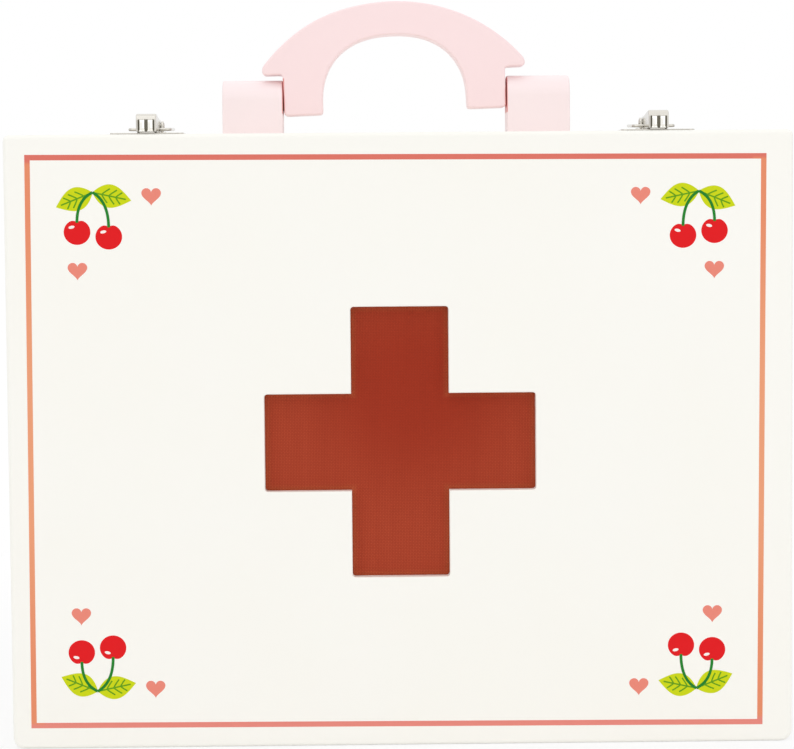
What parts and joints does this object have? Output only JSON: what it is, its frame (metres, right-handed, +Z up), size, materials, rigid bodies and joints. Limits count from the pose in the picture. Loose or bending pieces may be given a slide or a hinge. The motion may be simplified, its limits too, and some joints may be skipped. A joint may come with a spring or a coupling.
{
  "type": "toy doctor case",
  "caption": "Flat wooden toy case with a hinged lid, a cross-shaped window backed with cloth, an arched swinging grip between posts, and toggle latches.",
  "frame": {"origin": "middle of the case's underside: the middle of the width and of the closed depth, on the surface that it stands on", "axes": "+X to the right across the front panel, +Y from the front panel to the back panel, +Z up from the underside to the grip"},
  "size_m": [0.25, 0.088, 0.2413],
  "materials": {
    "white_lacquer": "white lacquer on fibreboard and plywood, satin gloss",
    "pink_lacquer": "pink lacquer on solid wood, satin gloss",
    "pale_pink_lacquer": "pale pink lacquer on solid wood, satin gloss",
    "red_cloth": "plain-woven cotton, brick red",
    "beech": "bare beech dowel",
    "nickel": "bright nickel-plated steel sheet and wire",
    "zinc": "zinc-plated steel screws and pins"
  },
  "bodies": {
    "base": {"back_panel": "white_lacquer", "base_bottom_rail": "white_lacquer", "base_top_rail": "white_lacquer", "base_left_rail": "white_lacquer", "base_right_rail": "white_lacquer", "left_post": "pale_pink_lacquer", "right_post": "pale_pink_lacquer", "left_post_screw_1": "zinc", "left_post_screw_2": "zinc", "right_post_screw_1": "zinc", "right_post_screw_2": "zinc", "left_hinge_base_leaf": "nickel", "left_hinge_pin": "zinc", "left_hinge_base_screw_1": "zinc", "left_hinge_base_screw_2": "zinc", "right_hinge_base_leaf": "nickel", "right_hinge_pin": "zinc", "right_hinge_base_screw_1": "zinc", "right_hinge_base_screw_2": "zinc", "left_catch_plate": "nickel", "left_catch_screw_1": "zinc", "left_catch_screw_2": "zinc", "right_catch_plate": "nickel", "right_catch_screw_1": "zinc", "right_catch_screw_2": "zinc"},
    "lid": {"front_panel": "white_lacquer", "cross_cloth": "red_cloth", "lid_bottom_rail": "white_lacquer", "lid_top_rail": "white_lacquer", "lid_left_rail": "white_lacquer", "lid_right_rail": "white_lacquer", "left_hinge_lid_leaf": "nickel", "left_hinge_lid_screw_1": "zinc", "left_hinge_lid_screw_2": "zinc", "right_hinge_lid_leaf": "nickel", "right_hinge_lid_screw_1": "zinc", "right_hinge_lid_screw_2": "zinc", "left_latch_base": "nickel", "left_latch_base_screw_1": "zinc", "left_latch_base_screw_2": "zinc", "left_latch_base_screw_3": "zinc", "left_latch_base_screw_4": "zinc", "left_lever_pin": "nickel", "right_latch_base": "nickel", "right_latch_base_screw_1": "zinc", "right_latch_base_screw_2": "zinc", "right_latch_base_screw_3": "zinc", "right_latch_base_screw_4": "zinc", "right_lever_pin": "nickel"},
    "grip": {"grip": "pink_lacquer", "left_grip_dowel": "beech", "right_grip_dowel": "beech"},
    "left_lever": {"left_latch_lever": "nickel"},
    "left_loop": {"left_latch_loop": "nickel"},
    "right_lever": {"right_latch_lever": "nickel"},
    "right_loop": {"right_latch_loop": "nickel"}
  },
  "joints": [
    {"name": "lid_hinge", "type": "hinge", "parent": "base", "child": "lid", "pos_m": [0, -0.014, 0.0017], "axis": [1, 0, 0], "range_deg": [0, 120]},
    {"name": "grip_hinge", "type": "hinge", "parent": "base", "child": "grip", "pos_m": [-0.0004, 0.015, 0.2088], "axis": [0.9995, 0, 0.0314], "range_deg": [-90, 90]},
    {"name": "left_lever_hinge", "type": "hinge", "parent": "lid", "child": "left_lever", "pos_m": [-0.0799, -0.022, 0.1992], "axis": [-1, 0, 0], "range_deg": [0, 150]},
    {"name": "left_loop_hinge", "type": "hinge", "parent": "left_lever", "child": "left_loop", "pos_m": [-0.0799, -0.027, 0.1979], "axis": [-1, 0, 0], "range_deg": [-150, 0]},
    {"name": "right_lever_hinge", "type": "hinge", "parent": "lid", "child": "right_lever", "pos_m": [0.0826, -0.022, 0.1992], "axis": [-1, 0, 0], "range_deg": [0, 150]},
    {"name": "right_loop_hinge", "type": "hinge", "parent": "right_lever", "child": "right_loop", "pos_m": [0.0826, -0.027, 0.1979], "axis": [-1, 0, 0], "range_deg": [-150, 0]}
  ],
  "couplings": [
    {"joint": "left_loop_hinge", "follows": "left_lever_hinge", "ratio": -1},
    {"joint": "right_loop_hinge", "follows": "right_lever_hinge", "ratio": -1}
  ]
}
